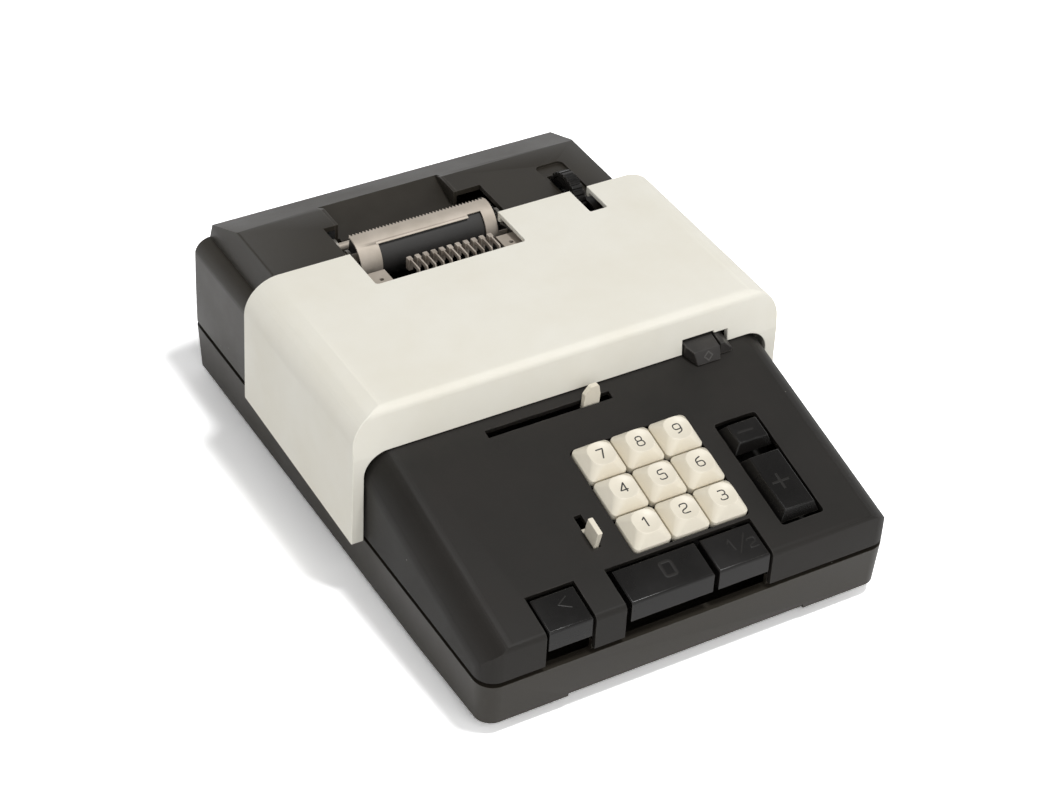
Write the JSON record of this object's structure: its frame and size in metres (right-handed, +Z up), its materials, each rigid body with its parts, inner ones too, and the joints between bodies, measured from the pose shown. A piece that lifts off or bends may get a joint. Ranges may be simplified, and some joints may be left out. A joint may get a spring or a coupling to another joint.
{
  "type": "printing adding machine",
  "caption": "Electric ten-key adding machine with a sloping black keyboard, an ivory saddle cover and a small paper printer behind it, on rubber feet.",
  "frame": {"origin": "centre of the footprint on the table, under the feet", "axes": "+X to the user's right, +Y to the back, +Z up; the keyboard faces -Y"},
  "size_m": [0.2134, 0.28, 0.0975],
  "materials": {
    "deck_black": "fine-textured",
    "housing_black": "fine-textured",
    "cover_ivory": "satin",
    "key_cream": "satin",
    "key_black": "semi-gloss",
    "inlet_black": "matte",
    "foot_rubber": "matte",
    "platen_rubber": "matte",
    "plated_steel": "satin",
    "frame_steel": "plain",
    "type_brass": "satin",
    "motor_paint": "satin"
  },
  "bodies": {
    "machine": {"base_pan": "housing_black", "rubber_feet": "foot_rubber", "base_screws": "plated_steel", "front_housing": "deck_black", "rear_housing": "housing_black", "saddle_cover": "cover_ivory", "paper_table": "housing_black", "carriage_rails": "plated_steel", "rail_brackets": "frame_steel", "key_plate": "frame_steel", "plate_screws": "plated_steel", "tear_bar": "plated_steel", "printer_plate": "plated_steel", "type_shaft": "plated_steel", "frame_left": "frame_steel", "frame_right": "frame_steel", "tie_rods": "plated_steel", "motor": "motor_paint", "motor_cradle": "frame_steel", "accumulator_shaft": "plated_steel", "power_inlet": "inlet_black", "inlet_pins": "plated_steel"},
    "key_1": {"key_1": "key_cream"},
    "key_2": {"key_2": "key_cream"},
    "key_3": {"key_3": "key_cream"},
    "key_4": {"key_4": "key_cream"},
    "key_5": {"key_5": "key_cream"},
    "key_6": {"key_6": "key_cream"},
    "key_7": {"key_7": "key_cream"},
    "key_8": {"key_8": "key_cream"},
    "key_9": {"key_9": "key_cream"},
    "zero_key": {"zero_key": "key_black"},
    "half_key": {"half_key": "key_black"},
    "correction_key": {"correction_key": "key_black"},
    "plus_key": {"plus_key": "key_black"},
    "minus_key": {"minus_key": "key_black"},
    "total_key": {"total_key": "key_black"},
    "column_carriage": {"pin_carriage": "frame_steel", "column_pointer": "key_cream"},
    "repeat_lever": {"repeat_lever": "key_cream"},
    "platen": {"platen_roller": "platen_rubber", "platen_shaft": "plated_steel", "platen_thumbwheel": "key_black", "platen_ratchet": "plated_steel"},
    "pressure_roller": {"pressure_roller": "platen_rubber"},
    "type_bars": {"type_bars": "type_brass"},
    "main_shaft": {"main_shaft": "plated_steel", "drive_gear": "type_brass"},
    "motor_pinion": {"motor_pinion": "type_brass"},
    "accumulator": {"accumulator_wheels": "plated_steel"}
  },
  "joints": [
    {"name": "key_1_press", "type": "slide", "parent": "machine", "child": "key_1", "axis": [0, 0.2453, -0.9694], "range_m": [0, 0.004], "stiffness_N_per_m": 160, "springref_m": -0.004},
    {"name": "key_2_press", "type": "slide", "parent": "machine", "child": "key_2", "axis": [0, 0.2453, -0.9694], "range_m": [0, 0.004], "stiffness_N_per_m": 160, "springref_m": -0.004},
    {"name": "key_3_press", "type": "slide", "parent": "machine", "child": "key_3", "axis": [0, 0.2453, -0.9694], "range_m": [0, 0.004], "stiffness_N_per_m": 160, "springref_m": -0.004},
    {"name": "key_4_press", "type": "slide", "parent": "machine", "child": "key_4", "axis": [0, 0.2453, -0.9694], "range_m": [0, 0.004], "stiffness_N_per_m": 160, "springref_m": -0.004},
    {"name": "key_5_press", "type": "slide", "parent": "machine", "child": "key_5", "axis": [0, 0.2453, -0.9694], "range_m": [0, 0.004], "stiffness_N_per_m": 160, "springref_m": -0.004},
    {"name": "key_6_press", "type": "slide", "parent": "machine", "child": "key_6", "axis": [0, 0.2453, -0.9694], "range_m": [0, 0.004], "stiffness_N_per_m": 160, "springref_m": -0.004},
    {"name": "key_7_press", "type": "slide", "parent": "machine", "child": "key_7", "axis": [0, 0.2453, -0.9694], "range_m": [0, 0.004], "stiffness_N_per_m": 160, "springref_m": -0.004},
    {"name": "key_8_press", "type": "slide", "parent": "machine", "child": "key_8", "axis": [0, 0.2453, -0.9694], "range_m": [0, 0.004], "stiffness_N_per_m": 160, "springref_m": -0.004},
    {"name": "key_9_press", "type": "slide", "parent": "machine", "child": "key_9", "axis": [0, 0.2453, -0.9694], "range_m": [0, 0.004], "stiffness_N_per_m": 160, "springref_m": -0.004},
    {"name": "zero_key_press", "type": "slide", "parent": "machine", "child": "zero_key", "axis": [0, 0.2453, -0.9694], "range_m": [0, 0.004], "stiffness_N_per_m": 160, "springref_m": -0.004},
    {"name": "half_key_press", "type": "slide", "parent": "machine", "child": "half_key", "axis": [0, 0.2453, -0.9694], "range_m": [0, 0.004], "stiffness_N_per_m": 160, "springref_m": -0.004},
    {"name": "correction_key_press", "type": "slide", "parent": "machine", "child": "correction_key", "axis": [0, 0.2453, -0.9694], "range_m": [0, 0.004], "stiffness_N_per_m": 160, "springref_m": -0.004},
    {"name": "plus_key_press", "type": "slide", "parent": "machine", "child": "plus_key", "axis": [0, 0.2453, -0.9694], "range_m": [0, 0.004], "stiffness_N_per_m": 160, "springref_m": -0.004},
    {"name": "minus_key_press", "type": "slide", "parent": "machine", "child": "minus_key", "axis": [0, 0.2453, -0.9694], "range_m": [0, 0.004], "stiffness_N_per_m": 160, "springref_m": -0.004},
    {"name": "total_key_push", "type": "slide", "parent": "machine", "child": "total_key", "axis": [0, 0.9694, 0.2453], "range_m": [0, 0.004], "stiffness_N_per_m": 200, "springref_m": -0.004},
    {"name": "carriage_slide", "type": "slide", "parent": "machine", "child": "column_carriage", "axis": [1, 0, 0], "range_m": [-0.046, 0.005]},
    {"name": "repeat_lever_slide", "type": "slide", "parent": "machine", "child": "repeat_lever", "axis": [0, 0.9694, 0.2453], "range_m": [0, 0.008]},
    {"name": "platen_turn", "type": "hinge", "parent": "machine", "child": "platen", "pos_m": [0, 0.0795, 0.0845], "axis": [1, 0, 0], "continuous": true},
    {"name": "pressure_roller_turn", "type": "hinge", "parent": "machine", "child": "pressure_roller", "pos_m": [0, 0.08692, 0.07055], "axis": [1, 0, 0], "continuous": true},
    {"name": "type_bar_swing", "type": "hinge", "parent": "machine", "child": "type_bars", "pos_m": [0, 0.038, 0.055], "axis": [1, 0, 0], "range_deg": [-11, 0], "stiffness_Nm_per_rad": 0.5, "springref_deg": 17.19},
    {"name": "main_shaft_turn", "type": "hinge", "parent": "machine", "child": "main_shaft", "pos_m": [0, 0.04285, 0.0372], "axis": [1, 0, 0], "continuous": true},
    {"name": "motor_turn", "type": "hinge", "parent": "machine", "child": "motor_pinion", "pos_m": [0, 0.075, 0.0372], "axis": [1, 0, 0], "continuous": true},
    {"name": "accumulator_turn", "type": "hinge", "parent": "machine", "child": "accumulator", "pos_m": [0, 0.01285, 0.0472], "axis": [1, 0, 0], "continuous": true}
  ],
  "couplings": [
    {"joint": "pressure_roller_turn", "follows": "platen_turn", "ratio": -2.1},
    {"joint": "motor_turn", "follows": "main_shaft_turn", "ratio": -4.3333}
  ]
}
